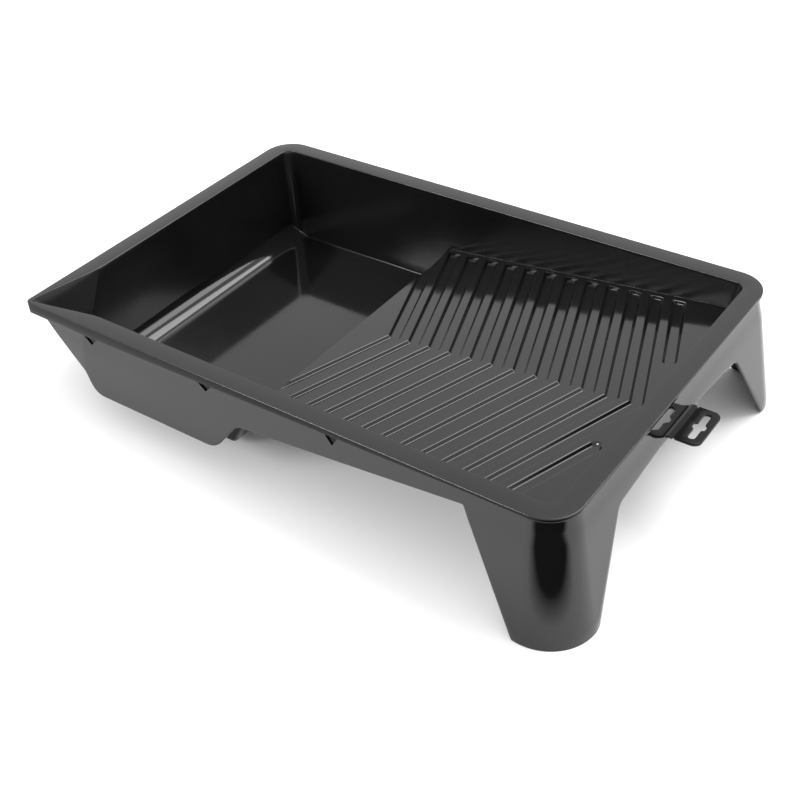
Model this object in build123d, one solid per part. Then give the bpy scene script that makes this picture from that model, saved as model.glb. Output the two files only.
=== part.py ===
from build123d import *
import os
from math import atan2, cos, radians, tan

# Paint roller tray: one thin plastic moulding with a deep well, a grooved ramp, a pouring corner,
# two legs under the ramp end and a hanging tab on a living hinge. The moulding is divided into its
# regions, which meet face to face, and every region is a solid of its own.
#
# It is drawn level first, in the rim frame: the top of the rim is z = 0, the well end is x = 0 and
# the front side is y = 0. Then it is tipped onto its feet, and the ground is z = 0.

# Driving dimensions, in millimetres and degrees
LENGTH = 420.0              # rim, well end to ramp end
WIDTH = 280.0               # rim, front to rear
WALL = 2.0                  # thickness of the moulding
RIM_WIDTH = 13.5            # flat top of the rim
RIM_RADIUS = 22.0           # three corners of the rim, seen from above
TIP_RADIUS = 4.0            # the pouring corner
LIP_DEEP = 8.5              # outer band of the rim around the well
LIP_SHALLOW = 2.6           # outer band of the rim above the legs
LIP_THICK = 2.4
DRAFT = 8.5                 # slope of the channel's walls
CHANNEL_RADIUS = 8.0        # upright corners of the channel
SPOUT_REACH = 57.0          # where the flange starts to narrow towards the tip
SPOUT_HEEL = 21.5           # foot of the pouring trough, from both outer sides
SPOUT_DEPTH = 46.0
SPOUT_MOUTH = (6.0, 3.0)    # front edge of the trough at the tip, mirrored over the diagonal

FLOOR_DEPTH = 70.0          # well floor below the rim
COVE_RADIUS = 16.0          # from the well floor up to the well end wall
RISER_FOOT = 158.0          # where the riser leaves the well floor
RISER_HEAD = 175.5          # where the riser meets the ramp
RAMP_DEPTH = 41.0           # ramp below the rim at the riser head
RAMP_SLOPE = 5.55           # ramp against the rim
DECK = 3.8                  # thickness of the ramp, lands included

GROOVE_DEPTH = 2.2
GROOVE_WIDTH = 11.2         # measured along the tray
GROOVE_PITCH = 16.7
GROOVE_FIRST = 202.8        # well-side edge of the first chevron on the centre line
GROOVE_COUNT = 12
GROOVE_SWEEP = 20.5         # arms swept back towards the well
GROOVE_MARGIN = 21.5        # groove ends to the outer edge of the rim
SHORT_REACH = 50.0          # round ends of the two short grooves, from the centre line

FLARE = 9.0                 # outward slope of the skirts and legs
FOOT_DEPTH = 95.0           # legs before they are trimmed to the ground
FOOT_RADIUS = 34.0          # corner of a leg at that depth
SKIRT_DEPTH = 50.0          # skirts around the well
SKIRT_CORNER = 16.0         # rounded lower corners of the side skirts
STEP_FOOT = 172.0           # side skirt rises from the well's depth to the ramp's
STEP_HEAD = 190.0
STEP_DEPTH = 27.0
STEP_CORNER = 10.0          # and its inner corner
LEG_REACH = 63.0            # ramp end to where a leg joins the side skirt
LEG_ROOT_DEPTH = 12.5
LEG_FOOT_REACH = 21.0       # ramp end to the same edge of the leg at its foot
END_SKIRT_DEPTH = 27.0      # skirt at the ramp end, beside the legs
TAB_SKIRT_DEPTH = 22.7      # and at its middle
TAB_SKIRT_HALF = 30.0       # half the length of that middle
TAB_SKIRT_CURVE = 40.0
LEG_INNER = 60.0            # outer side to the inner edge of a leg at its root
LEG_FOOT_INNER = 21.0
LEG_CORNER = 9.0
APRON = 54.0                # where the skirts turn in under the pouring corner
APRON_TIP = (9.0, 4.0)      # end of the front apron, beside the tip
APRON_DEPTH = 36.0          # free edge of the apron at the turn
APRON_BEND = 9.0            # from the turn to the skirt's full depth
APRON_CORNER = 18.0
SKIRT_STRIP = 34.0          # plan width that holds the skirts, from the rim's outer side
VENTS = ((56.0, 10.5, 3.3), (158.5, 10.0, 3.3), (260.0, 8.0, 5.0))  # place, width and height
VENT_POINT = 0.63           # lower point of a vent, as a share of its width
VENT_DROP = 0.4             # vent to the lip

TAB_WIDTH = 35.0
TAB_REACH = 15.6            # hinge axis to tip
TAB_THICK = 1.8
TAB_CORNER = 5.5
STRIP_REACH = 2.2           # strip on the skirt that carries the tab
HINGE_GAP = 0.3             # strip to the tab's round root
SLOT_LENGTH = 26.0
SLOT_WIDTH = 4.6
BUMP_WIDTH = 8.4            # slot at its middle
BUMP_LENGTH = 9.0
SLOT_INSET = 7.4            # middle of the slot to the tab's tip

TILT = 2.7                  # the rim rises towards the ramp end when the tray stands
FLAT = 0.3                  # trimmed off the lowest edge of the well, so that it rests on a flat

CENTRE = WIDTH / 2
DRAFT_RUN = tan(radians(DRAFT))
FLARE_RUN = tan(radians(FLARE))
RAMP_RUN = tan(radians(RAMP_SLOPE))
RISER_ANGLE = atan2(FLOOR_DEPTH - RAMP_DEPTH, RISER_HEAD - RISER_FOOT)
BIG = 600.0                 # cutters reach past everything
ABOVE = 10.0                # and this far above the rim
CHANNEL_BLOCK_DEPTH = 80.0


def rounded(points, radii=()):
    """Flat outline whose corners are rounded one by one, and left sharp where no radius is given."""
    sketch = Sketch() + make_face(Polyline(*points, close=True))
    for (x, y), radius in zip(points, radii):
        if radius:
            corner = sketch.vertices().sort_by_distance((x, y, 0))[0]
            sketch = fillet(corner, radius)
    return sketch


def across(sketch):
    """Outline in x and z, extruded right across the tray."""
    return extrude(Plane.XZ * sketch, BIG, both=True)


def along(sketch):
    """Outline in y and z, extruded right along the tray."""
    return extrude(Plane.YZ * sketch, BIG, both=True)


def space(x=(-BIG, BIG), y=(-BIG, BIG), z=(-BIG, BIG)):
    """Box between the given limits."""
    box = Box(x[1] - x[0], y[1] - y[0], z[1] - z[0])
    return Pos((x[0] + x[1]) / 2, (y[0] + y[1]) / 2, (z[0] + z[1]) / 2) * box


def wedge(points):
    """Upright prism over a plan outline."""
    return extrude(rounded(points), BIG, both=True)


def mirrored(solid):
    """The same solid on the other long side."""
    return mirror(solid, Plane((0, CENTRE, 0), z_dir=(0, 1, 0)))


def ramp_z(x):
    return -RAMP_DEPTH + (x - RISER_HEAD) * RAMP_RUN


# ------------------------------------------------------------------ channel: well and ramp

def channel_block(grow=0.0):
    """Drafted block whose four sides are the channel's walls, grown outwards by a thickness."""
    faces = []
    for depth in (0.0, CHANNEL_BLOCK_DEPTH):
        edge = RIM_WIDTH - grow / cos(radians(DRAFT)) + depth * DRAFT_RUN
        far_x = LENGTH - edge
        far_y = WIDTH - edge
        corners = [(edge, edge), (far_x, edge), (far_x, far_y), (edge, far_y)]
        faces.append(Pos(0, 0, -depth) * rounded(corners, [CHANNEL_RADIUS + grow] * 4))
    return loft(faces, ruled=True)


def channel_section(wall=0.0, deck=0.0):
    """Section along the tray: end wall, cove, floor, riser and ramp, moved outwards by a wall."""
    depth = FLOOR_DEPTH + wall
    end_x = RIM_WIDTH - wall / cos(radians(DRAFT))
    foot_x = RISER_FOOT + wall * tan(RISER_ANGLE / 2)
    rise = depth - RAMP_DEPTH - deck
    head_x = foot_x + (rise - (RISER_HEAD - foot_x) * RAMP_RUN) / (tan(RISER_ANGLE) - RAMP_RUN)
    far_x = LENGTH + RIM_WIDTH
    points = [
        (end_x - ABOVE * DRAFT_RUN, ABOVE),
        (end_x + depth * DRAFT_RUN, -depth),
        (foot_x, -depth),
        (head_x, ramp_z(head_x) - deck),
        (far_x, ramp_z(far_x) - deck),
        (far_x, ABOVE),
    ]
    return across(rounded(points, [0, COVE_RADIUS + wall, 0, 0, 0, 0]))


def trimmed(block, corners, grow):
    """Block cut by the plane through three points, moved outwards by a thickness."""
    first, second, third = [Vector(*corner) for corner in corners]
    normal = (second - first).cross(third - first).normalized()
    plane = Plane(origin=first, z_dir=normal)
    return split(block, plane.offset(grow), keep=Keep.BOTTOM)


def spout_block(grow=0.0):
    """Pouring corner: two sides that lean into a trough, which runs down from the tip."""
    near, far = SPOUT_MOUTH[1], SPOUT_MOUTH[0]
    reach = SPOUT_REACH + RIM_WIDTH
    tip_front = (far, near, 0)
    tip_end = (near, far, 0)
    throat_front = (SPOUT_REACH, RIM_WIDTH, 0)
    throat_end = (RIM_WIDTH, SPOUT_REACH, 0)
    heel = (SPOUT_HEEL, SPOUT_HEEL, -SPOUT_DEPTH)
    block = space(x=(0, reach), y=(0, reach), z=(-SPOUT_DEPTH, 0))
    block = trimmed(block, (tip_front, heel, throat_front), grow)
    block = trimmed(block, (tip_end, throat_end, heel), grow)
    block = trimmed(block, (tip_front, tip_end, heel), grow)
    return block & wedge([(0, 0), (reach, 0), (0, reach)])


# ------------------------------------------------------------------ skirts and legs

def skirt_offset(depth):
    """How far the outside of a skirt stands out from the rim at a depth below it."""
    return (depth - LIP_DEEP) * FLARE_RUN


def skirt_outline(depth, inset):
    """Plan outline of the skirts, with the two aprons that turn in towards the tip."""
    out = skirt_offset(depth) - inset
    tip_x, tip_y = APRON_TIP
    radius = RIM_RADIUS + (FOOT_RADIUS - RIM_RADIUS) * depth / FOOT_DEPTH - inset
    points = [
        (APRON, -out),
        (LENGTH + out, -out),
        (LENGTH + out, WIDTH + out),
        (-out, WIDTH + out),
        (-out, APRON),
        (tip_y - out, tip_x),
        (tip_x, tip_y - out),
    ]
    return Pos(0, 0, -depth) * rounded(points, [0, radius, radius, radius, 0, 0, 0])


def skirt_block(inset=0.0):
    return loft([skirt_outline(0, inset), skirt_outline(FOOT_DEPTH, inset)], ruled=True)


def apron_window():
    """Opening under the front apron, up to the full depth of the skirt."""
    points = [
        (-BIG, -BIG),
        (-BIG, -LIP_DEEP),
        (APRON_TIP[0], -LIP_DEEP),
        (APRON, -APRON_DEPTH),
        (APRON + APRON_BEND, -SKIRT_DEPTH),
        (STEP_FOOT / 2, -SKIRT_DEPTH),
        (STEP_FOOT / 2, -BIG),
    ]
    return across(rounded(points, [0, 0, 0, APRON_CORNER, APRON_CORNER]))


def ramp_window():
    """Opening under the side skirts along the ramp, between the well and the legs."""
    leg_x = LENGTH - LEG_REACH
    slope = (LEG_REACH - LEG_FOOT_REACH) / (FOOT_DEPTH - LEG_ROOT_DEPTH)
    points = [
        (STEP_FOOT / 2, -BIG),
        (STEP_FOOT / 2, -SKIRT_DEPTH),
        (STEP_FOOT, -SKIRT_DEPTH),
        (STEP_HEAD, -STEP_DEPTH),
        (leg_x, -LEG_ROOT_DEPTH),
        (leg_x + slope * (BIG - LEG_ROOT_DEPTH), -BIG),
    ]
    return across(rounded(points, [0, 0, SKIRT_CORNER, STEP_CORNER]))


def end_window():
    """What the skirt at the ramp end leaves open below it, between the legs."""
    slope = (LEG_INNER - LEG_FOOT_INNER) / (FOOT_DEPTH - END_SKIRT_DEPTH)
    low_y = LEG_INNER - slope * (BIG - END_SKIRT_DEPTH)
    middle_y = CENTRE - TAB_SKIRT_HALF
    near = [(low_y, -BIG), (LEG_INNER, -END_SKIRT_DEPTH), (middle_y, -TAB_SKIRT_DEPTH)]
    far = [(WIDTH - y, z) for y, z in reversed(near)]
    radii = [0, LEG_CORNER, TAB_SKIRT_CURVE]
    return along(rounded(near + far, radii + radii[::-1]))


def vents():
    """Triangular windows through a side skirt, point down, just under the lip."""
    triangles = []
    for x, width, height in VENTS:
        top = -lip_depth(x) - VENT_DROP
        corners = [(x, top), (x + width, top), (x + width * VENT_POINT, top - height)]
        triangles.append(across(rounded(corners)))
    return triangles


# ------------------------------------------------------------------ rim

def lip_depth(x):
    """Depth of the rim's outer band, which narrows towards the legs."""
    share = min(max((x - APRON) / (LENGTH - LEG_REACH - APRON), 0.0), 1.0)
    return LIP_DEEP + (LIP_SHALLOW - LIP_DEEP) * share


def rim_outline(inset=0.0):
    far_x = LENGTH - inset
    far_y = WIDTH - inset
    corners = [(inset, inset), (far_x, inset), (far_x, far_y), (inset, far_y)]
    radii = [TIP_RADIUS - inset, RIM_RADIUS - inset, RIM_RADIUS - inset, RIM_RADIUS - inset]
    return rounded(corners, radii)


def above_lip_edge():
    """Everything above the lower edge of the rim's outer band."""
    leg_x = LENGTH - LEG_REACH
    lower = [(-BIG, -LIP_DEEP), (APRON, -LIP_DEEP), (leg_x, -LIP_SHALLOW), (BIG, -LIP_SHALLOW)]
    upper = [(BIG, ABOVE), (-BIG, ABOVE)]
    return across(rounded(lower + upper))


def rim_ring(openings):
    """Flat flange with the band that turns down at its outer edge."""
    flange = extrude(rim_outline(), -WALL)
    band = extrude(rim_outline(), -LIP_DEEP) - extrude(rim_outline(LIP_THICK), -LIP_DEEP)
    ring = flange + (band & above_lip_edge())
    for opening in openings:
        ring -= opening
    return ring


# ------------------------------------------------------------------ ramp grooves

def groove_arm(left_x, reach, square_end):
    """Cutter for one arm of a chevron, drawn level and ready to be laid on the ramp.

    left_x is the well-side edge on the centre line. The arm runs from reach to the rear groove end.
    """
    sweep = tan(radians(GROOVE_SWEEP))
    end = CENTRE - GROOVE_MARGIN
    points = [
        (left_x - reach * sweep, reach),
        (left_x + GROOVE_WIDTH - reach * sweep, reach),
        (left_x + GROOVE_WIDTH - end * sweep, end),
        (left_x - end * sweep, end),
    ]
    sketch = rounded(points)
    if not square_end:
        across_groove = GROOVE_WIDTH * cos(radians(GROOVE_SWEEP)) / 2
        middle = (left_x + GROOVE_WIDTH / 2 - reach * sweep, reach)
        sketch += Pos(*middle) * Circle(across_groove)
    return sketch


def grooves():
    """All chevrons and the two short grooves beyond them, as cutters standing in the ramp."""
    arms = []
    for index in range(GROOVE_COUNT):
        arms.append(groove_arm(GROOVE_FIRST + index * GROOVE_PITCH, 0.0, True))
    arms.append(groove_arm(GROOVE_FIRST + GROOVE_COUNT * GROOVE_PITCH, SHORT_REACH, False))
    cutters = []
    for arm in arms:
        solid = extrude(arm, ABOVE)
        lean = Pos(RISER_HEAD, CENTRE, -RAMP_DEPTH - GROOVE_DEPTH) * Rot(0, -RAMP_SLOPE, 0)
        laid = lean * Pos(-RISER_HEAD, 0, 0) * solid
        cutters.append(laid)
        cutters.append(mirrored(laid))
    return cutters


# ------------------------------------------------------------------ hanging tab

HINGE_X = LENGTH + skirt_offset(TAB_SKIRT_DEPTH) + STRIP_REACH + HINGE_GAP + TAB_THICK / 2
HINGE_Z = -TAB_SKIRT_DEPTH + TAB_THICK / 2


def hang_tab():
    """Plate with a long hanging slot, wider at its middle, and a round root at the hinge."""
    half = TAB_WIDTH / 2
    plate = rounded(
        [(0, -half), (TAB_REACH, -half), (TAB_REACH, half), (0, half)],
        [0, TAB_CORNER, TAB_CORNER, 0],
    )
    slot_x = TAB_REACH - SLOT_INSET
    slot = SlotOverall(SLOT_LENGTH, SLOT_WIDTH, rotation=90)
    bump = rounded(
        [
            (-BUMP_WIDTH / 2, -BUMP_LENGTH / 4),
            (0, -BUMP_LENGTH / 2),
            (BUMP_WIDTH / 2, -BUMP_LENGTH / 4),
            (BUMP_WIDTH / 2, BUMP_LENGTH / 4),
            (0, BUMP_LENGTH / 2),
            (-BUMP_WIDTH / 2, BUMP_LENGTH / 4),
        ]
    )
    outline = plate - Pos(slot_x, 0) * (slot + bump)
    tab = extrude(Plane.XY.offset(-TAB_THICK / 2) * outline, TAB_THICK)
    root = extrude(Plane.XZ * Circle(TAB_THICK / 2), half, both=True)
    return Pos(HINGE_X, CENTRE, HINGE_Z) * (tab + root)


def tab_strip(skirts_outside):
    """Short strip along the foot of the skirt, on which the tab hangs."""
    strip = space(
        x=(LENGTH, HINGE_X - TAB_THICK / 2 - HINGE_GAP),
        y=(CENTRE - TAB_WIDTH / 2, CENTRE + TAB_WIDTH / 2),
        z=(-TAB_SKIRT_DEPTH, -TAB_SKIRT_DEPTH + TAB_THICK),
    )
    return strip - skirts_outside


# ------------------------------------------------------------------ dividing the moulding

# plan wedges that part the four sides along mitres through the upright corners
WELL_END = wedge([(-BIG, -BIG), (CENTRE, CENTRE), (-BIG, WIDTH + BIG)])
RAMP_END = wedge([(LENGTH + BIG, -BIG), (LENGTH - CENTRE, CENTRE), (LENGTH + BIG, WIDTH + BIG)])
FRONT_HALF = space(y=(-BIG, CENTRE))
REAR_HALF = space(y=(CENTRE, BIG))


def four_sides(ring):
    """A ring around the tray, cut into its two ends and its two long sides."""
    sides = ring - WELL_END - RAMP_END
    return ring & WELL_END, ring & RAMP_END, sides & FRONT_HALF, sides & REAR_HALF


def rim_regions(cavity, spout):
    ring = rim_ring([cavity, spout])
    names = ("rim_well_end", "rim_ramp_end", "rim_front", "rim_rear")
    return dict(zip(names, four_sides(ring)))


def channel_regions(cavity, spout):
    """The channel's shell below the rim, cut into its floor, riser, ramp and walls."""
    shell = (channel_block(WALL) & channel_section(WALL, DECK)) - cavity - spout
    shell &= space(z=(-BIG, -WALL))
    bottoms = shell & channel_block()
    cove_end = RIM_WIDTH + FLOOR_DEPTH * DRAFT_RUN + COVE_RADIUS * (1 - DRAFT_RUN)
    regions = {
        "well_cove": bottoms & space(x=(-BIG, cove_end)),
        "well_floor": bottoms & space(x=(cove_end, RISER_FOOT)),
        "well_riser": bottoms & space(x=(RISER_FOOT, RISER_HEAD)),
        "ramp_deck": bottoms & space(x=(RISER_HEAD, BIG)),
    }
    for cutter in grooves():
        regions["ramp_deck"] -= cutter
        regions["well_riser"] -= cutter
    well_end, ramp_end, front, rear = four_sides(shell - channel_block())
    regions["well_end_wall"] = well_end
    regions["ramp_end_wall"] = ramp_end
    for side, wall in (("front", front), ("rear", rear)):
        regions["well_" + side + "_wall"] = wall & space(x=(-BIG, RISER_HEAD))
        regions["ramp_" + side + "_wall"] = wall & space(x=(RISER_HEAD, BIG))
    return regions


def spout_regions(spout):
    """The two sides of the pouring corner's trough, parted along its middle."""
    shell = spout_block(WALL) - spout - (channel_block(WALL) & channel_section(WALL, DECK))
    shell &= extrude(rim_outline(LIP_THICK), -SPOUT_DEPTH)
    shell &= space(z=(-BIG, -WALL))
    front_of_trough = wedge([(-BIG, -BIG), (BIG, -BIG), (BIG, BIG)])
    return {"spout_front_side": shell & front_of_trough, "spout_end_side": shell - front_of_trough}


def skirt_regions():
    """Skirts, legs and aprons under the rim."""
    shell = skirt_block() - skirt_block(WALL) - above_lip_edge()
    shell -= end_window()
    shell -= ramp_window()
    shell -= mirrored(ramp_window())
    shell -= space(x=(-BIG, STEP_FOOT - SKIRT_CORNER), z=(-BIG, -SKIRT_DEPTH))
    shell -= spout_block(WALL)
    front = shell & FRONT_HALF
    rear = shell & REAR_HALF
    leg_x = LENGTH - LEG_REACH
    front_apron = front & wedge([(-BIG, -BIG), (APRON, APRON), (APRON, -BIG)])
    end_apron = front & wedge([(-BIG, -BIG), (APRON, APRON), (-BIG, APRON)])
    over_diagonal = Plane(origin=(0, 0, 0), z_dir=(1, -1, 0))
    regions = {
        "front_apron": front_apron - apron_window(),
        "end_apron": end_apron - mirror(apron_window(), over_diagonal),
        "well_end_skirt": shell & space(x=(-BIG, SKIRT_STRIP), y=(APRON, WIDTH - SKIRT_STRIP)),
        "rear_corner_skirt": rear & space(x=(-BIG, SKIRT_STRIP), y=(WIDTH - SKIRT_STRIP, BIG)),
        "ramp_end_skirt": shell & space(x=(leg_x, BIG), y=(LEG_INNER, WIDTH - LEG_INNER)),
        "front_well_skirt": front & space(x=(APRON, STEP_HEAD), y=(-BIG, SKIRT_STRIP)),
        "front_ramp_skirt": front & space(x=(STEP_HEAD, leg_x)),
        "rear_well_skirt": rear & space(x=(SKIRT_STRIP, STEP_HEAD)),
        "rear_ramp_skirt": rear & space(x=(STEP_HEAD, leg_x)),
        "front_leg": front & space(x=(leg_x, BIG), y=(-BIG, LEG_INNER)),
        "rear_leg": rear & space(x=(leg_x, BIG), y=(WIDTH - LEG_INNER, BIG)),
    }
    regions["front_well_skirt"] -= apron_window()
    for vent in vents():
        for name in ("front_well_skirt", "front_ramp_skirt", "rear_well_skirt", "rear_ramp_skirt"):
            regions[name] -= vent
    return regions


def moulding():
    """Every region of the tray and its tab, by name, in the rim frame."""
    cavity = channel_block() & channel_section()
    spout = spout_block()
    regions = rim_regions(cavity, spout)
    regions.update(channel_regions(cavity, spout))
    regions.update(spout_regions(spout))
    regions.update(skirt_regions())
    regions["tab_strip"] = tab_strip(skirt_block())
    regions["hang_tab"] = hang_tab()
    return regions


# ------------------------------------------------------------------ standing on the ground

def standing(regions):
    """Tip the tray onto its feet, centre it over the origin and trim what meets the ground."""
    tipped = {name: Rot(0, -TILT, 0) * region for name, region in regions.items()}
    ground = tipped["well_floor"].bounding_box().min.Z + FLAT
    box = Compound(children=list(tipped.values())).bounding_box()
    shift = Pos(-(box.min.X + box.max.X) / 2, -CENTRE, -ground)
    return {name: (shift * region) & space(z=(0, BIG)) for name, region in tipped.items()}


if __name__ == "__main__":
    os.makedirs("parts", exist_ok=True)
    for name, part in standing(moulding()).items():
        part.label = name
        export_step(part, os.path.join("parts", name + ".step"))
        print(name, len(part.solids()), round(part.volume / 1000, 2))
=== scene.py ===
from math import cos, pi, radians, sin, tan

import bmesh
import bpy
import numpy as np
from mathutils import Matrix, Vector

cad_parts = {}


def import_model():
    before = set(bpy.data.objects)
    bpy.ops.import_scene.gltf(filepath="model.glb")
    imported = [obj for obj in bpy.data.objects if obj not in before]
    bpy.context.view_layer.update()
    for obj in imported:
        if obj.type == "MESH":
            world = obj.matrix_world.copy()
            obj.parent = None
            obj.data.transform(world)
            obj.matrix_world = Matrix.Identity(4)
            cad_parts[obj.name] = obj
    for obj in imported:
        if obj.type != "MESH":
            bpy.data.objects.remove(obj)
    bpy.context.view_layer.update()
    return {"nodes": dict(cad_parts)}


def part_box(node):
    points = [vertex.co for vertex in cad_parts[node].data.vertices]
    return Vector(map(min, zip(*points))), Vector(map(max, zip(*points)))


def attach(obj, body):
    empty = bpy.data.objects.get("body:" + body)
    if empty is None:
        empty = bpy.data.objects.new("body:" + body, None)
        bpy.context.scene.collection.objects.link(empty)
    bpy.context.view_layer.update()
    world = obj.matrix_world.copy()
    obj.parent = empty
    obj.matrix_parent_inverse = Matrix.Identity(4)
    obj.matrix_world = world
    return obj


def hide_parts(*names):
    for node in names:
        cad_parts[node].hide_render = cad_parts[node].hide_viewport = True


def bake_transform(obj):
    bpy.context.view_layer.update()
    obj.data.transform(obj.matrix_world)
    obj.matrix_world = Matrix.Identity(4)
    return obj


# Paint roller tray in glossy black plastic. The CAD model divides the moulding into regions; here
# it is four continuous skins: the channel with its rim, the well's bed, the grooved ramp and the
# skirt with its legs. All shapes are worked out in the CAD's rim frame, in millimetres (top of the
# rim z = 0, well end x = 0, front y = 0), and then stood on the ground like the CAD model.

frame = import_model()

# ------------------------------------------------------------------ dimensions, as in the CAD

LENGTH = 420.0
WIDTH = 280.0
CENTRE = WIDTH / 2
WALL = 2.0
DECK = 3.8
RIM_WIDTH = 13.5
RIM_RADIUS = 22.0
TIP_RADIUS = 4.0
LIP_DEEP = 8.5
LIP_SHALLOW = 2.6
LIP_THICK = 2.4
DRAFT = radians(8.5)
DRAFT_RUN = tan(DRAFT)
CHANNEL_RADIUS = 8.0
SPOUT_REACH = 57.0
SPOUT_DEPTH = 46.0
SPOUT_MOUTH = (6.0, 3.0)
FLOOR_DEPTH = 70.0
COVE_RADIUS = 16.0
RISER_FOOT = 158.0
RISER_HEAD = 175.5
RAMP_DEPTH = 41.0
RAMP_RUN = tan(radians(5.55))
GROOVE_DEPTH = 2.2
GROOVE_WIDTH = 11.2
GROOVE_PITCH = 16.7
GROOVE_FIRST = 202.8
GROOVE_COUNT = 12
GROOVE_SWEEP = radians(20.5)
GROOVE_MARGIN = 21.5
SHORT_REACH = 50.0
FLARE_RUN = tan(radians(9.0))
FOOT_DEPTH = 95.0
FOOT_RADIUS = 34.0
SKIRT_DEPTH = 50.0
APRON = 54.0
APRON_DEPTH = 36.0
APRON_BEND = 9.0
STEP_DEPTH = 27.0       # skirt's depth just past the well, and where the end skirt leaves the legs
LEG_REACH = 63.0
TAB_WIDTH = 35.0
TAB_REACH = 15.6
TAB_THICK = 1.8
TAB_SKIRT_DEPTH = 22.7
TAB_SKIRT_HALF = 30.0
SLOT_INSET = 7.4
VENTS = ((56.0, 10.5, 3.3), (158.5, 10.0, 3.3), (260.0, 8.0, 5.0))      # place, width, height
VENT_POINT = 0.63
TILT = radians(2.7)

SHIFT_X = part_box("rim_well_end")[0].x * 1000
SHIFT_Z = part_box("rim_ramp_end")[1].z * 1000 - LENGTH * sin(TILT)

# finer shapes that the CAD leaves sharp
FOOT_FILLET = 0.9       # channel wall to bed, in the well
RAMP_FILLET = 0.15      # the same beside the ramp
TOP_ROUND = 0.7         # flange to channel wall
RIM_ROUND = 0.6         # flange to outer band
RECESS = 0.6            # skirt behind the rim's outer band
GROOVE_SIDE = 2.7       # width of a groove's drafted side, seen from above
GROOVE_END = 0.9        # the same at the ends of the arms, which are steeper
KNEE_DEPTH = 9.0        # channel wall turns to the flange
KNEE_ROUND = 4.0
LIP_ROUND = 0.35        # lower edges of the outer band
BACK_ROUND = 3.0        # hidden side of the knee
VENT_GROWTH = (2.0, 1.5, 1.2)   # vents before, after and below their CAD size
VENT_DROP = 0.4         # vent's point below the rim's outer band
FOOT_CORNER = 21.0      # rim corner to the end of a leg's edge
SKIRT_START = 9.0       # rim corner of the spout to the start of the aprons


def world(points):
    """Rim frame, millimetres, to the row frame, metres."""
    p = np.asarray(points, float)
    x, y, z = p[..., 0], p[..., 1], p[..., 2]
    stood = np.stack(
        [
            x * cos(TILT) - z * sin(TILT) + SHIFT_X,
            y - CENTRE,
            x * sin(TILT) + z * cos(TILT) + SHIFT_Z,
        ],
        -1,
    )
    return stood / 1000


def smoothstep(low, high, value):
    t = np.clip((value - low) / (high - low), 0.0, 1.0)
    return t * t * (3 - 2 * t)


def unit(v):
    v = np.asarray(v, float)
    return v / np.linalg.norm(v, axis=-1, keepdims=True)


# ------------------------------------------------------------------ mesh helpers

def corner_rows(before, corner, after, radius, steps):
    """Rows of points that round a corner of many sections at once, as true arcs."""
    to_before, to_after = before - corner, after - corner
    reach_before = np.linalg.norm(to_before, axis=-1)
    reach_after = np.linalg.norm(to_after, axis=-1)
    u, v = unit(to_before), unit(to_after)
    half = np.arccos(np.clip((u * v).sum(-1), -1.0, 1.0)) / 2
    tangent = radius / np.maximum(np.tan(half), 1e-6)
    tangent = np.maximum(tangent, 0.05)
    tangent = np.minimum(tangent, 0.46 * np.minimum(reach_before, reach_after))[..., None]
    first, last = corner + u * tangent, corner + v * tangent
    weight = np.sin(half)[..., None]
    rows = []
    for step in range(steps + 1):
        t = step / steps
        a, b, c = (1 - t) ** 2, 2 * t * (1 - t) * weight, t * t
        rows.append((a * first + b * corner + c * last) / (a + b + c))
    return rows


def section_rows(keys, closed=True):
    """Rows around a section. Each key is (points, radius, arc steps, extra rows up to the next key)."""
    count = len(keys)
    parts = []
    for i, (points, radius, steps, _) in enumerate(keys):
        if radius is None or (not closed and i in (0, count - 1)):
            parts.append([points])
        else:
            before, after = keys[i - 1][0], keys[(i + 1) % count][0]
            parts.append(corner_rows(before, points, after, radius, steps))
    rows = []
    for i, part in enumerate(parts):
        rows += part
        if not closed and i == count - 1:
            break
        start, end = part[-1], parts[(i + 1) % count][0]
        extra = keys[i][3]
        rows += [start + (end - start) * (k + 1) / (extra + 1) for k in range(extra)]
    return rows


def filleted(points, radii, steps=10):
    """Flat polyline with rounded corners, as an array of points."""
    points = [np.array([p], float) for p in points]
    keys = [(p, r if r else None, steps, 0) for p, r in zip(points, radii)]
    return np.concatenate(section_rows(keys, closed=False))


def add_object(name, mesh):
    obj = bpy.data.objects.new(name, mesh)
    bpy.context.scene.collection.objects.link(obj)
    return obj


def finish_mesh(obj, angle=38.0):
    """Consistent normals, smooth faces, and sharp edges only where the surface really turns."""
    bm = bmesh.new()
    bm.from_mesh(obj.data)
    bmesh.ops.remove_doubles(bm, verts=bm.verts, dist=2e-6)
    bmesh.ops.dissolve_degenerate(bm, edges=bm.edges, dist=1e-6)
    bmesh.ops.recalc_face_normals(bm, faces=bm.faces)
    for face in bm.faces:
        face.smooth = True
    for edge in bm.edges:
        turn = edge.calc_face_angle(0.0) if len(edge.link_faces) == 2 else 0.0
        edge.smooth = turn < radians(angle)
    bm.to_mesh(obj.data)
    bm.free()


def loft(name, rows, close_rows=True, close_columns=True):
    """Mesh from rows of points: each row has one point for every column."""
    grid = world(np.stack(rows))
    grid[..., 2] = np.maximum(grid[..., 2], 0.0)
    n_rows, n_cols = grid.shape[:2]
    faces = []
    for i in range(n_rows if close_rows else n_rows - 1):
        for j in range(n_cols if close_columns else n_cols - 1):
            i2, j2 = (i + 1) % n_rows, (j + 1) % n_cols
            faces.append((i * n_cols + j, i * n_cols + j2, i2 * n_cols + j2, i2 * n_cols + j))
    if close_rows and not close_columns:
        faces.append([i * n_cols for i in range(n_rows)])
        faces.append([i * n_cols + n_cols - 1 for i in reversed(range(n_rows))])
    mesh = bpy.data.meshes.new(name)
    mesh.from_pydata(grid.reshape(-1, 3).tolist(), [], faces)
    return add_object(name, mesh)


# ------------------------------------------------------------------ bed of the channel

def ramp_depth(x):
    return RAMP_DEPTH - (x - RISER_HEAD) * RAMP_RUN


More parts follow.
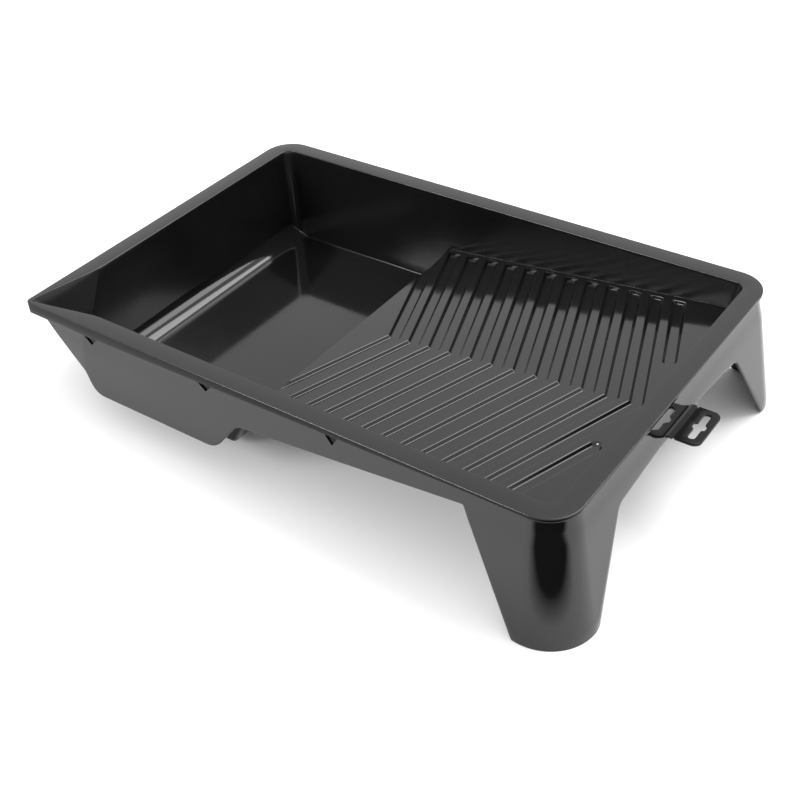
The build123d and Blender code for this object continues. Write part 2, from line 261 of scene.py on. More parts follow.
BED_LINE = filleted(
    [
        (RIM_WIDTH, 0),
        (RIM_WIDTH + FLOOR_DEPTH * DRAFT_RUN, -FLOOR_DEPTH),
        (RISER_FOOT, -FLOOR_DEPTH),
        (RISER_HEAD, -RAMP_DEPTH),
        (LENGTH, -ramp_depth(LENGTH)),
    ],
    [0, COVE_RADIUS, 3.0, 0, 0],
    steps=24,
)


def bed_depth(x):
    return -np.interp(x, BED_LINE[:, 0], BED_LINE[:, 1])


def bed_slope(x):
    return (bed_depth(x - 0.05) - bed_depth(x + 0.05)) / 0.1


def bed_thickness(x):
    return WALL + (DECK - WALL) * smoothstep(RISER_FOOT, RISER_HEAD, x)


# ------------------------------------------------------------------ channel and rim

SIDES = {
    "front": ((0.0, 0.0), (1.0, 0.0), (0.0, -1.0)),
    "ramp": ((LENGTH, 0.0), (0.0, 1.0), (1.0, 0.0)),
    "rear": ((LENGTH, WIDTH), (-1.0, 0.0), (0.0, 1.0)),
    "well": ((0.0, WIDTH), (0.0, -1.0), (-1.0, 0.0)),
}
ARC_STEPS = 20
CORNER_KEEP = 33.0      # sides hold no columns nearer to a corner than this


def side_stops(length, fine=()):
    """Places for columns along a side, set closer together over the given spans."""
    stops = set(np.round(np.linspace(CORNER_KEEP, length - CORNER_KEEP, int(length / 4)), 3))
    for low, high, pitch in fine:
        stops = {s for s in stops if not low - pitch / 2 < s < high + pitch / 2}
        stops |= set(np.round(np.arange(low, high + pitch / 2, pitch), 3))
    return sorted(s for s in stops if CORNER_KEEP <= s <= length - CORNER_KEEP)


def lip_depth(x):
    share = np.clip((x - APRON) / (LENGTH - LEG_REACH - APRON), 0.0, 1.0)
    return LIP_DEEP + (LIP_SHALLOW - LIP_DEEP) * share


def rim_columns():
    """Columns around the rim, each with what its section needs.

    out: outward direction; edge: centre and radius of the rim's outer edge; core: centre of the
    channel wall's 8 mm circle at depth start; move: how that centre shifts as the wall goes down;
    top: inner edge of the flange, where it isn't simply the wall's own top.
    """
    columns = []

    def add(out, edge, radius, core, move, start=0.0, top=None):
        columns.append((out, edge, radius, core, move, start, top))

    def side(name, stops):
        origin, way, out = (np.array(v) for v in SIDES[name])
        for stop in stops:
            point = origin + way * stop
            core = point - (RIM_WIDTH + CHANNEL_RADIUS) * out
            add(out, point - RIM_RADIUS * out, RIM_RADIUS, core, -out)

    def corner(name, after):
        origin = np.array(SIDES[after][0])
        out_a, out_b = np.array(SIDES[name][2]), np.array(SIDES[after][2])
        both = out_a + out_b
        for step in range(ARC_STEPS + 1):
            turn = pi / 2 * step / ARC_STEPS
            out = cos(turn) * out_a + sin(turn) * out_b
            core = origin - (RIM_WIDTH + CHANNEL_RADIUS) * both
            add(out, origin - RIM_RADIUS * both, RIM_RADIUS, core, -both)

    # the pouring corner is made for the front side and mirrored over the diagonal for the end side
    heel_shift = SPOUT_DEPTH * DRAFT_RUN
    heel = RIM_WIDTH + CHANNEL_RADIUS + heel_shift
    tip_top = np.array(SPOUT_MOUTH)
    spout_steps = 26
    crowding = 0.9          # columns lie a little closer together toward the tip
    spout = []
    for step in range(1, spout_steps + 1):
        u = (step / spout_steps) ** crowding
        top = np.array([SPOUT_REACH, RIM_WIDTH]) * (1 - u) + tip_top * u
        start = max(SPOUT_DEPTH * u, 2.5)
        share = start / SPOUT_DEPTH
        core = np.array(
            [
                SPOUT_REACH + (heel - SPOUT_REACH) * share,
                RIM_WIDTH + CHANNEL_RADIUS + start * DRAFT_RUN,
            ]
        )
        out = np.array([0.0, -1.0])
        edge = np.array([max(top[0] - 2.0 * u, TIP_RADIUS), RIM_RADIUS])
        spout.append((out, edge, RIM_RADIUS, core, np.array([u, 1.0]), start, top))

    # the flange's inner edge is straight along both spout sides and rounded between them
    slant = (RIM_WIDTH - SPOUT_MOUTH[1]) / (SPOUT_REACH - SPOUT_MOUTH[0])
    apex = tip_top[0] - (tip_top[0] - tip_top[1]) / (1 - slant)
    middle = np.array([[apex, apex]])
    mouth_radius = 2.54
    tip_steps = 14
    first, last = np.array([tip_top]), np.array([tip_top[::-1]])
    far_first, far_last = (middle + (point - middle) * 2.2 for point in (first, last))
    tip_arc = corner_rows(far_first, middle, far_last, mouth_radius, tip_steps)

    side(
        "front",
        [s for s in side_stops(LENGTH, [(RISER_FOOT - 5, RISER_HEAD + 3, 0.75)]) if s > SPOUT_REACH],
    )
    corner("front", "ramp")
    side("ramp", side_stops(WIDTH))
    corner("ramp", "rear")
    riser_span = (LENGTH - RISER_HEAD - 3, LENGTH - RISER_FOOT + 5, 0.75)
    side("rear", side_stops(LENGTH, [riser_span, (LENGTH - 42, LENGTH - 33, 1.0)]))
    corner("rear", "well")
    side("well", [s for s in side_stops(WIDTH) if s < WIDTH - SPOUT_REACH])
    for out, edge, radius, core, move, start, top in spout:
        add(out[::-1], edge[::-1], radius, core[::-1], move[::-1], start, top[::-1])
    for step in range(1, tip_steps):
        turn = pi / 2 * (1 - step / tip_steps)
        out = np.array([-sin(turn), -cos(turn)])
        core = np.array([heel, heel])
        edge = np.array([TIP_RADIUS, TIP_RADIUS])
        add(out, edge, TIP_RADIUS, core, np.array([1.0, 1.0]), SPOUT_DEPTH, tip_arc[tip_steps - step][0])
    for row in reversed(spout):
        add(*row)
    return columns


def flat(xy, z):
    """Points from plan positions and heights."""
    z = np.broadcast_to(np.asarray(z, float), xy.shape[:-1])
    return np.concatenate([xy, z[..., None]], -1)


def channel_and_rim():
    columns = rim_columns()
    out = np.array([c[0] for c in columns])
    edge = np.array([c[1] for c in columns])
    radius = np.array([c[2] for c in columns])[:, None]
    core = np.array([c[3] for c in columns])
    move = np.array([c[4] for c in columns])
    start = np.array([c[5] for c in columns])
    pours = np.array([c[6] is not None for c in columns])
    own_top = core + CHANNEL_RADIUS * out
    top = np.array([t if c[6] is None else c[6] for c, t in zip(columns, own_top)])

    def wall_at(depth):
        shift = move * ((depth - start) * DRAFT_RUN)[:, None]
        return core + shift + CHANNEL_RADIUS * out

    # where the wall meets the bed
    low, high = np.maximum(start, 10.0), np.full(len(columns), FLOOR_DEPTH + 5)
    for _ in range(40):
        middle = (low + high) / 2
        above = bed_depth(wall_at(middle)[:, 0]) - middle > -1e-4
        low, high = np.where(above, middle, low), np.where(above, high, middle)
    foot_xy = wall_at(low)
    foot = flat(foot_xy, -low)

    slope = bed_slope(foot_xy[:, 0])
    over_bed = unit(np.stack([-out[:, 0], -out[:, 1], -slope * out[:, 0]], -1))
    bed_up = unit(np.stack([-slope, np.zeros_like(slope), np.ones_like(slope)], -1))
    wall_out = unit(flat(out, -DRAFT_RUN))
    thick = bed_thickness(foot_xy[:, 0])
    on_bed = foot + 4.5 * over_bed - 0.06 * bed_up

    # outer corner of the same wall and bed
    lean = -(wall_out * bed_up).sum(-1)
    lean = np.minimum(lean, 0.985)
    along_wall = (WALL - lean * thick) / (1 - lean**2)
    along_bed = (thick - lean * WALL) / (1 - lean**2)
    square = (lean < 0.9)[:, None]
    corner_out = along_wall[:, None] * wall_out - along_bed[:, None] * bed_up
    foot_back = foot + np.where(square, corner_out, WALL * wall_out)
    bed_back = on_bed - bed_up * (thick - 0.15)[:, None]

    in_well = foot_xy[:, 0] < RISER_HEAD
    fillet = np.where(in_well, FOOT_FILLET, RAMP_FILLET)

    knee_depth = np.where(pours, start, KNEE_DEPTH)
    knee = flat(wall_at(knee_depth), -knee_depth)
    knee_back = knee + WALL * wall_out

    def rim_at(inset):
        return edge + out * (radius - inset)

    lip = lip_depth(edge[:, 0] + out[:, 0] * radius[:, 0])
    lip = np.where(out[:, 0] < -0.01, LIP_DEEP, lip)
    inner = flat(top, 0.0)
    rim = rim_at(0.0)
    flange_width = ((rim - top) * out).sum(-1)
    wall_width = WALL / cos(DRAFT) - WALL * DRAFT_RUN
    back_inset = np.maximum(flange_width - wall_width, LIP_THICK + 0.3)
    shift = np.minimum(flange_width - back_inset, 2.2)
    under_inner = flat(top + out * shift[:, None], -WALL)

    keys = [
        (on_bed, None, 1, 0),
        (foot, fillet, 6, 8),
        (knee, KNEE_ROUND, 3, 3),
        (inner, TOP_ROUND, 5, 1),
        (flat(rim, 0.0), RIM_ROUND, 6, 1),
        (flat(rim, -lip), LIP_ROUND, 2, 0),
        (flat(rim_at(LIP_THICK), -lip), LIP_ROUND, 2, 0),
        (flat(rim_at(LIP_THICK), -WALL), 0.25, 1, 1),
        (under_inner, 1.0, 3, 0),
        (knee_back, BACK_ROUND, 2, 4),
        (foot_back, fillet + WALL, 6, 0),
        (bed_back, None, 1, 0),
    ]
    return loft("tray_channel", section_rows(keys))


# ------------------------------------------------------------------ well bed and riser

def well_bed():
    """Cove, well floor and riser, as one closed sheet."""
    line = BED_LINE[(BED_LINE[:, 0] < RISER_HEAD - 0.01) & (BED_LINE[:, 1] < -1.0)]
    top_of_riser = -(ramp_depth(RISER_HEAD) + DECK)
    run = (RISER_HEAD - RISER_FOOT) / (FLOOR_DEPTH - RAMP_DEPTH)
    head = (RISER_HEAD + (top_of_riser + RAMP_DEPTH) * run, top_of_riser + 0.05)
    line = np.vstack([line, head])
    dense = [line[0]]
    for a, b in zip(line[:-1], line[1:]):
        pieces = max(1, int(np.hypot(*(b - a)) / 6))
        dense += [a + (b - a) * (k + 1) / pieces for k in range(pieces)]
    line = np.array(dense)
    way = unit(np.gradient(line, axis=0))
    up = np.stack([-way[:, 1], way[:, 0]], -1)
    under = line - up * WALL
    under[-1] += way[-1] * 1.6      # up to the ramp's underside

    depth = -line[:, 1]
    core = RIM_WIDTH + CHANNEL_RADIUS + depth * DRAFT_RUN
    beside = np.clip(core - line[:, 0], 0.0, CHANNEL_RADIUS)
    low_y = core - np.sqrt(CHANNEL_RADIUS**2 - beside**2) + 1.5
    rows_top, rows_under = [], []
    for share in np.linspace(0.0, 1.0, 33):
        y = low_y + (WIDTH - 2 * low_y) * share
        rows_top.append(np.stack([line[:, 0], y, line[:, 1]], -1))
        rows_under.append(np.stack([under[:, 0], y, under[:, 1]], -1))
    return loft("tray_well_bed", rows_top + rows_under[::-1], True, False)


# ------------------------------------------------------------------ grooved ramp

def side_lines(top_edge, inward, width=GROOVE_SIDE, count=15):
    """Grid lines across a groove's side, from just outside its top edge down to the floor."""
    return [top_edge + inward * width * share for share in np.linspace(-0.08, 1.08, count)]


def ramp():
    """Ramp with chevron grooves. Its grid is swept back like the arms, so every edge is clean."""
    sweep = tan(GROOVE_SWEEP)
    slim = cos(GROOVE_SWEEP)
    arm_end = CENTRE - GROOVE_MARGIN
    u_lines = list(np.arange(168.0, GROOVE_FIRST - 4, 6.0))
    for k in range(GROOVE_COUNT):
        left = GROOVE_FIRST + k * GROOVE_PITCH
        u_lines += side_lines(left, 1) + side_lines(left + GROOVE_WIDTH, -1)
        u_lines += [left + GROOVE_WIDTH / 2]
    short_left = GROOVE_FIRST + GROOVE_COUNT * GROOVE_PITCH
    u_lines += list(np.arange(short_left - 1.0, short_left + GROOVE_WIDTH + 1.0, 0.4))
    u_lines += list(np.arange(short_left + GROOVE_PITCH, 464.0, 6.0))
    u_lines = sorted(u_lines)
    reach_lines = [0.0, 0.5, 1.2, 2.5, 6.0, 14.0, 22.0, 30.0, 38.0]
    reach_lines += list(np.arange(43.0, 51.6, 0.4)) + list(np.linspace(56.0, arm_end - 8, 6))
    reach_lines += sorted(side_lines(arm_end, -1, GROOVE_END, 9)) + [arm_end + 3.5, arm_end + 7]
    v_lines = [-r for r in reversed(reach_lines[1:])] + reach_lines

    u, v = np.meshgrid(np.array(u_lines), np.array(v_lines))
    x = u - np.abs(v) * sweep
    y = CENTRE + v
    share = np.zeros_like(u)
    ends = 1 - smoothstep(arm_end - GROOVE_END, arm_end, np.abs(v))
    half = GROOVE_WIDTH / 2
    for k in range(GROOVE_COUNT + 1):
        off = u - (GROOVE_FIRST + k * GROOVE_PITCH + half)
        if k < GROOVE_COUNT:
            away = np.abs(off)
        else:
            short = np.minimum(np.abs(v) - SHORT_REACH, 0.0)
            beyond = np.hypot(off - short * sweep, short) / slim
            away = np.where(short < 0, beyond, np.abs(off))
        share = np.maximum(share, 1 - smoothstep(half - GROOVE_SIDE, half, away))
    top = -ramp_depth(x) - GROOVE_DEPTH * share * ends
    bottom = -ramp_depth(x) - DECK
    rows = [np.stack([x[i], y[i], top[i]], -1) for i in range(len(v_lines))]
    rows += [np.stack([x[i], y[i], bottom[i]], -1) for i in reversed(range(len(v_lines)))]
    obj = loft("tray_ramp", rows, True, False)

    lap = 1.5               # the channel's foot strip covers the deck from here outward
    foot_y = RIM_WIDTH + RAMP_DEPTH * DRAFT_RUN + lap
    narrowing = RAMP_RUN * DRAFT_RUN
    end_x = LENGTH - RIM_WIDTH - ramp_depth(404.0) * DRAFT_RUN - lap
    rise = np.array([RISER_HEAD - RISER_FOOT, 0.0, FLOOR_DEPTH - RAMP_DEPTH])
    riser_out = np.array([-rise[2], 0.0, rise[0]])
    cuts = [
        ((RISER_HEAD, 0, -RAMP_DEPTH), riser_out),
        ((end_x, 0, 0), (1, 0, 0)),
        ((RISER_HEAD, foot_y, 0), (-narrowing, -1, 0)),
        ((RISER_HEAD, WIDTH - foot_y, 0), (-narrowing, 1, 0)),
    ]
    origin = world(np.zeros(3))
    bm = bmesh.new()
    bm.from_mesh(obj.data)
    for point, normal in cuts:
        place = Vector(world(np.array(point, float)))
        direction = Vector(world(np.array(normal, float)) - origin).normalized()
        geometry = bm.verts[:] + bm.edges[:] + bm.faces[:]
        cut = bmesh.ops.bisect_plane(
            bm, geom=geometry, dist=1e-7, plane_co=place, plane_no=direction, clear_outer=True
        )
        rim_edges = [e for e in cut["geom_cut"] if isinstance(e, bmesh.types.BMEdge) and e.is_boundary]
        bmesh.ops.holes_fill(bm, edges=rim_edges, sides=0)
    bm.to_mesh(obj.data)
    bm.free()
    return obj


# ------------------------------------------------------------------ skirt and legs

SIDE_EDGE = filleted(
    [
        (SKIRT_START, LIP_DEEP + 0.3),
        (APRON, APRON_DEPTH),
        (APRON + APRON_BEND, SKIRT_DEPTH),
        (172.0, SKIRT_DEPTH),
        (190.0, STEP_DEPTH),
        (LENGTH - LEG_REACH, 12.5),
        (LENGTH - FOOT_CORNER, FOOT_DEPTH),
    ],
    [0, 0, 18.0, 16.0, 10.0, 0.5, 0],
)
END_EDGE = filleted(
    [
        (FOOT_CORNER, FOOT_DEPTH),
        (60.0, STEP_DEPTH),
        (CENTRE - TAB_SKIRT_HALF, TAB_SKIRT_DEPTH),
        (CENTRE + TAB_SKIRT_HALF, TAB_SKIRT_DEPTH),
        (WIDTH - 60.0, STEP_DEPTH),
        (WIDTH - FOOT_CORNER, FOOT_DEPTH),
    ],
    [0, 9.0, 40.0, 40.0, 9.0, 0],
)


def lower(a, b, blend=2.5):
    """The smaller of two depths, rounded where they cross."""
    h = np.clip(0.5 + 0.5 * (b - a) / blend, 0.0, 1.0)
    return b + (a - b) * h - blend * h * (1 - h)


def ground_depth(x):
    return (SHIFT_Z + x * sin(TILT)) / cos(TILT)


def skirt_out(depth):
    hidden = 1 - smoothstep(LIP_DEEP, LIP_DEEP + 12, depth)
    return (depth - LIP_DEEP) * FLARE_RUN - RECESS * hidden


def skirt_radius(depth):
    return RIM_RADIUS + (FOOT_RADIUS - RIM_RADIUS) * depth / FOOT_DEPTH


def skirt():
    """Outer skirt with its two legs, from one apron under the pouring corner round to the other."""
    plans = []

    def side(name, stops, drop, tuck=None):
        origin, way, out = (np.array(v) for v in SIDES[name])
        for stop in stops:
            point = origin + way * stop
            inward = 0.0 if tuck is None else tuck(stop)

            def place(depth, inset, point=point, out=out, inward=inward):
                return point + out * (skirt_out(depth) - inset - inward)

            plans.append((place, drop, lip_depth(point[0])))

    def corner(name, after, drop):
        origin = np.array(SIDES[after][0])
        out_a, out_b = np.array(SIDES[name][2]), np.array(SIDES[after][2])
        steps = 32
        for step in range(steps + 1):
            turn = pi / 2 * step / steps
            out = cos(turn) * out_a + sin(turn) * out_b

            def place(depth, inset, out=out):
                radius = skirt_radius(depth)
                core = origin + (skirt_out(depth) - radius) * (out_a + out_b)
                return core + out * (radius - inset)

            plans.append((place, drop, lip_depth(place(0.0, 0.0)[0])))

    plain_from = 120.0      # no apron beyond this

    def front_drop(place, depth):
        x = place(depth, 0.0)[0]
        return float(lower(np.interp(x, SIDE_EDGE[:, 0], SIDE_EDGE[:, 1]), ground_depth(x)))

    def rear_drop(place, depth):
        x = place(depth, 0.0)[0]
        past_apron = x > plain_from
        edge = np.interp(x, SIDE_EDGE[:, 0], SIDE_EDGE[:, 1]) if past_apron else SKIRT_DEPTH
        return float(lower(edge, ground_depth(x)))

    def ramp_drop(place, depth):
        x, y = place(depth, 0.0)
        return float(lower(np.interp(y, END_EDGE[:, 0], END_EDGE[:, 1]), ground_depth(x)))

    def well_drop(place, depth):
        y = place(depth, 0.0)[1]
        by_apron = y < plain_from
        return float(np.interp(y, SIDE_EDGE[:, 0], SIDE_EDGE[:, 1])) if by_apron else SKIRT_DEPTH

    def full_drop(place, depth):
        return SKIRT_DEPTH

    def leg_drop(place, depth):
        x, y = place(depth, 0.0)
        return float(ground_depth(x))

    def near_tip(stop):
        return 4.0 * max(APRON - stop, 0.0) / (APRON - SKIRT_START)

    # places for columns: closer together where the lower edge bends
    first = list(np.arange(SKIRT_START, 80.0, 1.5)) + list(np.arange(80.0, 150.0, 4.0))
    middle = list(np.arange(150.0, 200.0, 1.0)) + list(np.arange(200.0, 352.0, 4.0))
    leg = list(np.arange(352.0, 396.5, 0.9))
    across = list(np.arange(24.2, 66.0, 0.9)) + list(np.arange(66.0, CENTRE, 3.0))
    across += [WIDTH - a for a in reversed(across)]
    side("front", first + middle + leg, front_drop, near_tip)
    corner("front", "ramp", leg_drop)
    side("ramp", across, ramp_drop)
    corner("ramp", "rear", leg_drop)
    by_corner = [24.5, 27, 30, 34]
    rear = by_corner + list(np.arange(38.0, 150.0, 4.0)) + middle + leg
    side("rear", [LENGTH - s for s in reversed(rear)], rear_drop)
    corner("rear", "well", full_drop)
    well = first + list(np.arange(150.0, WIDTH - 38, 4.0))
    well_stops = by_corner + [WIDTH - s for s in reversed(well)]
    side("well", well_stops, well_drop, lambda s: near_tip(WIDTH - s))

    fractions = (0.0, 0.03, 0.07, 0.12, 0.18, 0.25, 0.34, 0.45, 0.58, 0.7, 0.82, 0.92)
    half_edge = ((0.5, 0.0), (0.3, 0.06), (0.1, 0.25), (0.0, 0.5))      # height, inset
    lip_edge = half_edge + tuple((up, WALL - inset) for up, inset in reversed(half_edge))
    columns = []
    for place, drop, lip in plans:
        start = lip - 1.0
        depth = SKIRT_DEPTH
        for _ in range(12):
            depth = drop(place, depth)
        depth = max(depth, start + 1.4)
        tall = depth - 0.5 - start
        column = []
        for share in fractions:
            d = start + tall * share
            column.append((*place(d, 0.0), -d))
        for up, inset in lip_edge:
            d = depth - up
            column.append((*place(d, inset), -d))
        for share in (0.8, 0.5, 0.25, 0.1, 0.0):
            d = start + tall * share
            column.append((*place(d, WALL), -d))
        columns.append(column)
    rows = np.array(columns).transpose(1, 0, 2)
    return loft("tray_skirt", list(rows), True, False)


def cut_vents(obj):
    """Small triangular windows, point down, just under the rim's outer band."""
    bm = bmesh.new()
    before, after, below = VENT_GROWTH
    for x, width, height in VENTS:
        start, stop = x - before, x + width + after
        near_top, far_top = (-float(lip_depth(s)) + 0.3 for s in (start, stop))
        tip = -float(lip_depth(x)) - (VENT_DROP + below) - height
        outline = [(start, near_top), (stop, far_top), (x + VENT_POINT * width, tip)]
        for low_y, high_y in ((-12.0, 8.0), (WIDTH - 8.0, WIDTH + 12.0)):
            ring = [(px, y, pz) for y in (low_y, high_y) for px, pz in outline]
            verts = [bm.verts.new(world(np.array(point))) for point in ring]
            bm.faces.new(verts[2::-1])
            bm.faces.new(verts[3:])
            for k in range(3):
                n = (k + 1) % 3
                bm.faces.new((verts[k], verts[n], verts[n + 3], verts[k + 3]))
    bmesh.ops.recalc_face_normals(bm, faces=bm.faces)
    mesh = bpy.data.meshes.new("vent_cutters")
    bm.to_mesh(mesh)
    bm.free()
    cutter = add_object("vent_cutters", mesh)
    modifier = obj.modifiers.new("vents", "BOOLEAN")
    modifier.object = cutter
    modifier.operation = "DIFFERENCE"
    modifier.solver = "EXACT"
    bpy.context.view_layer.update()
    evaluated = obj.evaluated_get(bpy.context.evaluated_depsgraph_get())
    cut = bpy.data.meshes.new_from_object(evaluated)
    obj.modifiers.clear()
    obj.data = cut
    bpy.data.objects.remove(cutter)


# ------------------------------------------------------------------ hanging tab

HINGE_X = LENGTH + (TAB_SKIRT_DEPTH - LIP_DEEP) * FLARE_RUN + 2.2 + 0.3 + TAB_THICK / 2
HINGE_Z = -TAB_SKIRT_DEPTH + TAB_THICK / 2


def tab_plate():
    """Plate with rounded edges and a long hanging slot, wider at its middle."""
    half = TAB_WIDTH / 2
    outline = filleted(
        [(0, 0), (0, -half), (TAB_REACH, -half), (TAB_REACH, half), (0, half), (0, 0)],
        [0, 0.4, 5.5, 5.5, 0.4, 0],
    )[:-1]
    # the slot starts and ends half way along its straight side, and its second half mirrors the first
    half_slot = [(2.3, -3.2), (4.2, -2.2), (4.2, 2.2), (2.3, 3.2), (2.3, 13.0), (-2.3, 13.0)]
    half_radii = [1.2, 1.6, 1.6, 1.2, 2.25, 2.25]
    seam = [(2.3, -8.0)]
    slot = seam + half_slot + [(-x, -y) for x, y in half_slot] + seam
    hole = filleted(slot, [0] + half_radii * 2 + [0], 6)[:-1] + (TAB_REACH - SLOT_INSET, 0)

    curve = bpy.data.curves.new("tab_outline", "CURVE")
    curve.dimensions = "2D"
    curve.fill_mode = "BOTH"
    curve.bevel_depth = 0.35
    curve.bevel_resolution = 3
    curve.extrude = TAB_THICK / 2 - curve.bevel_depth
    curve.offset = -curve.bevel_depth
    for ring in (outline, hole):
        spline = curve.splines.new("POLY")
        spline.points.add(len(ring) - 1)
        for point, (x, y) in zip(spline.points, ring):
            point.co = (x, y, 0.0, 1.0)
        spline.use_cyclic_u = True
    shape = bpy.data.objects.new("tab_outline", curve)
    bpy.context.scene.collection.objects.link(shape)
    bpy.context.view_layer.update()
    mesh = bpy.data.meshes.new_from_object(shape.evaluated_get(bpy.context.evaluated_depsgraph_get()))
    bpy.data.objects.remove(shape)
    points = np.array([v.co for v in mesh.vertices], float)
    points += (HINGE_X, CENTRE, HINGE_Z)
    mesh.vertices.foreach_set("co", world(points).astype(np.float32).ravel())
    mesh.update()
    return add_object("hanging_tab_plate", mesh)


def hinge_web():
    """Thin strip of plastic that joins the tab to the skirt and is thinnest at the hinge."""
    halves = [      # along the tab, half of the thickness
        (-2.6, 0.5),
        (-1.7, 0.5),
        (-1.2, 0.26),
        (-0.8, 0.22),
        (-0.4, 0.22),
        (0.0, 0.22),
        (0.6, 0.3),
        (1.4, 0.5),
        (2.2, 0.5),
    ]
    reach = TAB_WIDTH / 2 - 0.6
    y = CENTRE + np.linspace(-reach, reach, 25)
    under = [(x, -half) for x, half in reversed(halves)]
    rows = [flat(np.stack([np.full(25, HINGE_X + x), y], -1), HINGE_Z + half) for x, half in halves + under]
    return loft("hinge_web", rows, True, False)


# ------------------------------------------------------------------ materials

def node_tree(name):
    material = bpy.data.materials.new(name)
    material.use_nodes = True
    tree = material.node_tree
    tree.nodes.clear()
    output = tree.nodes.new("ShaderNodeOutputMaterial")
    shader = tree.nodes.new("ShaderNodeBsdfPrincipled")
    tree.links.new(shader.outputs["BSDF"], output.inputs["Surface"])
    return material, tree, shader


def noise(tree, scale, detail, stretch=(1.0, 1.0, 1.0)):
    place = tree.nodes.new("ShaderNodeTexCoord")
    mapping = tree.nodes.new("ShaderNodeMapping")
    mapping.inputs["Scale"].default_value = stretch
    texture = tree.nodes.new("ShaderNodeTexNoise")
    texture.inputs["Scale"].default_value = scale
    texture.inputs["Detail"].default_value = detail
    tree.links.new(place.outputs["Object"], mapping.inputs["Vector"])
    tree.links.new(mapping.outputs["Vector"], texture.inputs["Vector"])
    return texture


def ramp_node(tree, source, stops):
    node = tree.nodes.new("ShaderNodeValToRGB")
    while len(node.color_ramp.elements) < len(stops):
        node.color_ramp.elements.new(0.5)
    for element, (position, value) in zip(node.color_ramp.elements, stops):
        element.position = position
        element.color = (*value, 1.0) if hasattr(value, "__len__") else (value, value, value, 1.0)
    tree.links.new(source.outputs["Fac"], node.inputs["Fac"])
    return node


def black_plastic(name, rough_low, rough_high, unevenness=1.0, index=1.5):
    """Glossy injection-moulded black plastic: flow marks, orange peel and a few scuffs."""
    material, tree, shader = node_tree(name)
    shader.inputs["IOR"].default_value = index
    flow = noise(tree, 9.0, 3.0, (1.0, 2.2, 1.0))
    blacks = [(0.3, (0.0032, 0.0032, 0.0035)), (0.7, (0.0050, 0.0050, 0.0053))]
    colour = ramp_node(tree, flow, blacks)
    tree.links.new(colour.outputs["Color"], shader.inputs["Base Color"])

    haze = noise(tree, 38.0, 5.0)
    rough = ramp_node(tree, haze, [(0.35, rough_low), (0.65, rough_high)])
    tree.links.new(rough.outputs["Color"], shader.inputs["Roughness"])

    peel = noise(tree, 420.0, 2.0)
    waves = noise(tree, 26.0, 1.0)
    fine = tree.nodes.new("ShaderNodeBump")
    fine.inputs["Strength"].default_value = 0.02 * unevenness
    fine.inputs["Distance"].default_value = 0.0006
    broad = tree.nodes.new("ShaderNodeBump")
    broad.inputs["Strength"].default_value = 0.05 * unevenness
    broad.inputs["Distance"].default_value = 0.0009
    tree.links.new(peel.outputs["Fac"], fine.inputs["Height"])
    tree.links.new(waves.outputs["Fac"], broad.inputs["Height"])
    tree.links.new(broad.outputs["Normal"], fine.inputs["Normal"])
    tree.links.new(fine.outputs["Normal"], shader.inputs["Normal"])
    return material


def pale_floor():
    material, tree, shader = node_tree("pale_floor")
    shader.inputs["Roughness"].default_value = 0.6
    soft = noise(tree, 3.0, 2.0)
    colour = ramp_node(tree, soft, [(0.3, (0.80, 0.80, 0.80)), (0.7, (0.83, 0.83, 0.83))])
    tree.links.new(colour.outputs["Color"], shader.inputs["Base Color"])
    return material


def painted_shade_material():
    """Painted shade: matt black that fades out toward the edge of a disc of radius 1."""
    material, tree, shader = node_tree("painted_shade_card")
    dark = [(0.3, (0.002, 0.002, 0.002)), (0.7, (0.003, 0.003, 0.003))]
    shade = ramp_node(tree, noise(tree, 3.0, 2.0), dark)
    tree.links.new(shade.outputs["Color"], shader.inputs["Base Color"])
    shader.inputs["Specular IOR Level"].default_value = 0.0
    shader.inputs["Roughness"].default_value = 0.9
    fade = tree.nodes.new("ShaderNodeTexGradient")
    fade.gradient_type = "SPHERICAL"
    place = tree.nodes.new("ShaderNodeTexCoord")
    tree.links.new(place.outputs["Object"], fade.inputs["Vector"])
    cover = ramp_node(tree, fade, [(0.0, 0.0), (0.25, 1.0)])
    tree.links.new(cover.outputs["Color"], shader.inputs["Alpha"])
    return material


def dress(obj, material):
    obj.data.materials.clear()
    obj.data.materials.append(material)


# ------------------------------------------------------------------ building the tray

gloss = black_plastic("black_gloss_plastic", 0.035, 0.075)      # skirt and legs
satin = black_plastic("black_ramp_plastic", 0.07, 0.12)
wall = black_plastic("black_wall_plastic", 0.14, 0.18, 0.3)
basin = black_plastic("black_well_plastic", 0.06, 0.09, 0.7)
# painted shade: the outer band's index of refraction is below real plastic's, which darkens its reflections
band = black_plastic("black_band_plastic", 0.05, 0.09, 1.0, 1.2)
# painted shade: the tab's index of refraction is below real plastic's, which darkens its reflections
dull_and_shaded = black_plastic("black_tab_plastic", 0.2, 0.26, 1.0, 1.25)

channel = channel_and_rim()
bed = well_bed()
grooved = ramp()
outer = skirt()
for piece in (channel, bed, grooved, outer):
    finish_mesh(piece)
cut_vents(outer)
finish_mesh(outer)
plate = tab_plate()
finish_mesh(plate, 50.0)
web = hinge_web()
finish_mesh(web)

plastics = ((channel, wall), (bed, basin), (grooved, satin), (outer, gloss), (plate, dull_and_shaded), (web, dull_and_shaded))
for piece, material in plastics:
    dress(piece, material)
dress(frame["nodes"]["tab_strip"], gloss)

# the rim's outer band takes the plastic with the lowered index, which darkens its reflections: painted
# shade
channel.data.materials.append(band)
for face in channel.data.polygons:
    outward = face.normal.x * face.center.x + face.normal.y * face.center.y > 0
    if outward and abs(face.normal.z) < 0.2:
        face.material_index = 1

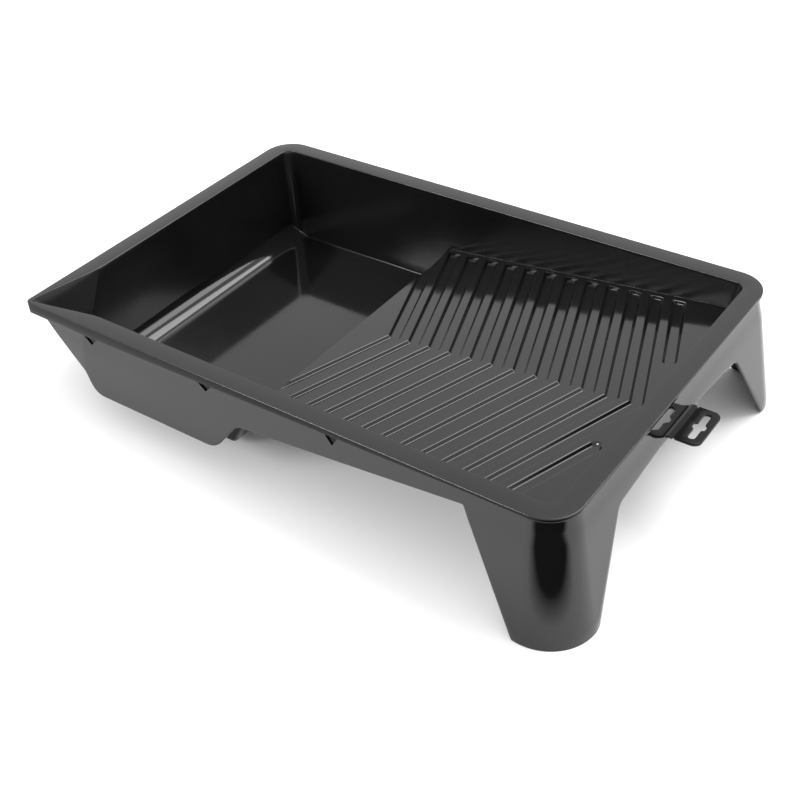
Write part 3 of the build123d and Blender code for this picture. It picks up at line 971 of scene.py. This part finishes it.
for piece in (channel, bed, grooved, outer):
    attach(piece, "tray")
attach(plate, "tab")
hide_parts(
    "rim_well_end",
    "rim_ramp_end",
    "rim_front",
    "rim_rear",
    "well_end_wall",
    "ramp_end_wall",
    "well_front_wall",
    "ramp_front_wall",
    "well_rear_wall",
    "ramp_rear_wall",
    "spout_front_side",
    "spout_end_side",
)
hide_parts("well_cove", "well_floor", "well_riser")
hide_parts("ramp_deck")
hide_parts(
    "front_apron",
    "end_apron",
    "well_end_skirt",
    "rear_corner_skirt",
    "ramp_end_skirt",
    "front_well_skirt",
    "front_ramp_skirt",
    "rear_well_skirt",
    "rear_ramp_skirt",
    "front_leg",
    "rear_leg",
)
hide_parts("hang_tab")
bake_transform(web)

# ------------------------------------------------------------------ studio

scene = bpy.context.scene
scene.view_settings.view_transform = "Standard"


def disc(name, radius, segments):
    bm = bmesh.new()
    bmesh.ops.create_circle(bm, cap_ends=True, radius=radius, segments=segments)
    mesh = bpy.data.meshes.new(name)
    bm.to_mesh(mesh)
    bm.free()
    return add_object(name, mesh)


floor = disc("floor", 6.0, 96)
dress(floor, pale_floor())


def area_light(name, place, target, size, power):
    light = bpy.data.lights.new(name, "AREA")
    light.shape = "RECTANGLE"
    light.size, light.size_y = size
    light.energy = power
    obj = add_object(name, light)
    obj.location = place
    obj.rotation_euler = (Vector(target) - Vector(place)).to_track_quat("-Z", "Y").to_euler()
    return obj


area_light("top_softbox", (0.5, 0.95, 2.2), (0.0, 0.0, 0.05), (2.0, 1.1), 46.0)
area_light("front_left_softbox", (-1.0, -1.75, 1.0), (0.0, 0.0, 0.05), (0.9, 0.7), 34.0)
area_light("rear_right_softbox", (1.35, 1.35, 1.1), (0.0, 0.0, 0.05), (1.1, 0.8), 11.0)

# painted shade: a soft-edged dark disc on the floor before the near leg, hidden from the camera and from
# light, which the leg's rounded corner mirrors as a dark band, a painted reflection
shade_card = disc("painted_shade_card", 1.0, 48)
shade_card.scale = (0.17, 0.17, 1.0)
shade_card.location = (0.325, -0.300, 0.002)
shade_card.rotation_euler = (0.0, 0.0, radians(36))
shade_card.visible_camera = False
shade_card.visible_diffuse = False
shade_card.visible_shadow = False
dress(shade_card, painted_shade_material())

world_light = bpy.data.worlds.new("studio")
scene.world = world_light
world_light.use_nodes = True
world_light.node_tree.nodes["Background"].inputs["Color"].default_value = (1.0, 1.0, 1.0, 1.0)
world_light.node_tree.nodes["Background"].inputs["Strength"].default_value = 1.25

camera_data = bpy.data.cameras.new("camera")
camera_data.lens = 56.57
camera_data.sensor_width = 36.0
camera = add_object("camera", camera_data)
right = Vector((0.8159, 0.5780, -0.0126)).normalized()
up = Vector((-0.3604, 0.5255, 0.7707)).normalized()
back = right.cross(up).normalized()
up = back.cross(right)
camera.matrix_world = Matrix(
    (
        (right.x, up.x, back.x, 0.4031),
        (right.y, up.y, back.y, -0.5634),
        (right.z, up.z, back.z, 0.5617),
        (0.0, 0.0, 0.0, 1.0),
    )
)
scene.camera = camera
